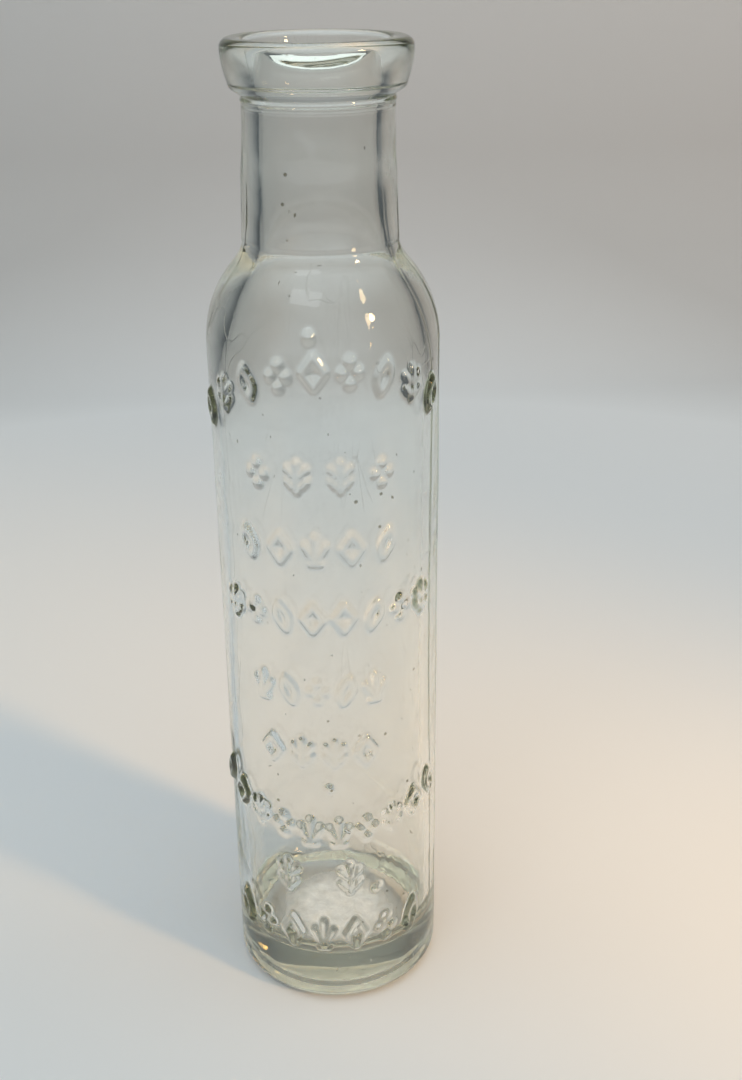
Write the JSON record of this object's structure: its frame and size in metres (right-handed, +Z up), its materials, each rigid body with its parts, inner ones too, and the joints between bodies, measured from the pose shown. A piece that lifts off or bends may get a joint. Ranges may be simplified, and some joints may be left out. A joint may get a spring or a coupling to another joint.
{
  "type": "medicine bottle",
  "caption": "Tall cylindrical clear glass medicine bottle with a thick base, domed shoulder, straight neck, tooled lip and rows of raised ornament.",
  "frame": {"origin": "centre of the base, on the surface that the bottle stands on", "axes": "+Z up along the bottle's axis towards the mouth; the raised ornament faces -Y"},
  "size_m": [0.0259, 0.026, 0.1143],
  "materials": {
    "clear_glass": "clear glass with a faint grey-green cast, slightly wavy, with fine scratches and seed bubbles"
  },
  "bodies": {
    "root": {"glass_bottle": "clear_glass"}
  },
  "joints": []
}
